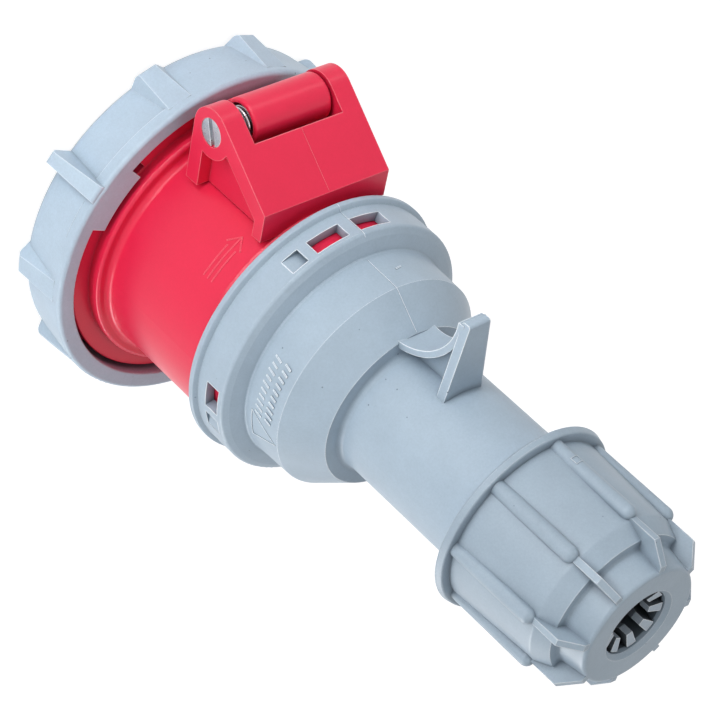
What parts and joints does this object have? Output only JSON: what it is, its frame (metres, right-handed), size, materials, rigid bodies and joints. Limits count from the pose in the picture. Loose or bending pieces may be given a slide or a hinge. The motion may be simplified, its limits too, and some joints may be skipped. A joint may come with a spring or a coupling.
{
  "type": "industrial socket",
  "caption": "Watertight industrial cable socket with hinged sprung lid, bayonet locking ring, twist-off rear housing with hook, and ribbed cable gland.",
  "frame": {"origin": "centre of the lid's flat front face, on which the closed socket stands", "axes": "+Z along the socket's axis from the lid towards the cable gland; the lid hinge is on the -Y side with its pin along X"},
  "size_m": [0.0908, 0.0947, 0.1612],
  "materials": {
    "red_plastic": "satin moulded polyamide, red",
    "grey_plastic": "fine matt moulded polyamide, light blue grey",
    "clamp_plastic": "smooth moulded polyamide, light grey",
    "carrier_plastic": "glass-filled polyamide, dark grey",
    "rubber": "black nitrile rubber",
    "brass": "turned brass",
    "zinc_steel": "bright zinc-plated steel",
    "spring_steel": "drawn stainless spring wire and strip"
  },
  "bodies": {
    "socket_front": {"front_body": "red_plastic", "carrier_face": "carrier_plastic", "contact_carrier": "carrier_plastic", "carrier_cover": "carrier_plastic", "cover_screw": "zinc_steel", "carrier_screws": "zinc_steel", "terminal_screws": "zinc_steel", "hinge_pin": "zinc_steel", "lid_spring": "spring_steel", "body_seal": "rubber", "contact_l1": "brass", "contact_spring_l1": "spring_steel", "contact_l2": "brass", "contact_spring_l2": "spring_steel", "contact_l3": "brass", "contact_spring_l3": "spring_steel", "contact_n": "brass", "contact_spring_n": "spring_steel", "contact_pe": "brass", "contact_spring_pe": "spring_steel"},
    "lid_body": {"lid": "red_plastic", "lid_seal": "rubber"},
    "ring_body": {"lid_ring": "grey_plastic"},
    "housing_body": {"rear_housing": "grey_plastic"},
    "clamp_body": {"clamp_basket": "clamp_plastic", "gland_seal": "rubber"},
    "nut_body": {"gland_nut": "grey_plastic"}
  },
  "joints": [
    {"name": "lid_hinge", "type": "hinge", "parent": "socket_front", "child": "lid_body", "pos_m": [0, -0.0443, 0.0291], "axis": [-1, 0, 0], "range_deg": [0, 170], "stiffness_Nm_per_rad": 0.03, "springref_deg": -57.3},
    {"name": "ring_turn", "type": "hinge", "parent": "lid_body", "child": "ring_body", "pos_m": [0, 0, 0.008], "axis": [0, 0, 1], "range_deg": [0, 35]},
    {"name": "housing_twist", "type": "hinge", "parent": "socket_front", "child": "housing_body", "pos_m": [0, 0, 0.058], "axis": [0, 0, 1], "range_deg": [0, 30]},
    {"name": "clamp_slide", "type": "slide", "parent": "housing_body", "child": "clamp_body", "axis": [0, 0, 1], "range_m": [0, 0.009]},
    {"name": "nut_turn", "type": "hinge", "parent": "clamp_body", "child": "nut_body", "pos_m": [0, 0, 0.142], "axis": [0, 0, 1], "range_deg": [0, 1080]}
  ],
  "couplings": [
    {"joint": "clamp_slide", "follows": "nut_turn", "m_per_rad": 0.00047746}
  ]
}
